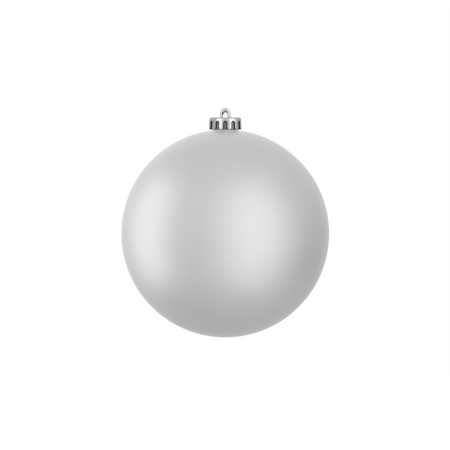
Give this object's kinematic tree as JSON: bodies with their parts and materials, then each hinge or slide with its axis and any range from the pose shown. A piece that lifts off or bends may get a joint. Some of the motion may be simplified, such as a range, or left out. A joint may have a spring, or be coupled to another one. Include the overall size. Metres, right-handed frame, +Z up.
{
  "type": "glass ball ornament",
  "caption": "Round satin silver ball ornament with a fluted bright cap over its neck and a loop hanger whose spring legs grip inside the neck.",
  "frame": {"origin": "inside top of the hanger's eye, where a hook or ribbon carries the ornament", "axes": "+Z up, along the axis of the ball, neck and cap; the hanger's loop lies in the XZ plane, so a hook passes through it along Y"},
  "size_m": [0.1998, 0.1998, 0.2207],
  "materials": {
    "satin_silver": "satin",
    "bright_plate": "polished"
  },
  "bodies": {
    "hanger": {"hanger": "bright_plate"},
    "cap": {"cap": "bright_plate"},
    "ball": {"glass_ball": "satin_silver"}
  },
  "joints": [
    {"name": "hanger_play", "type": "slide", "parent": "hanger", "child": "cap", "axis": [0, 0, 1], "range_m": [0, 0.0025]},
    {"name": "cap_pull", "type": "slide", "parent": "cap", "child": "ball", "axis": [0, 0, -1], "range_m": [0, 0.02]}
  ]
}
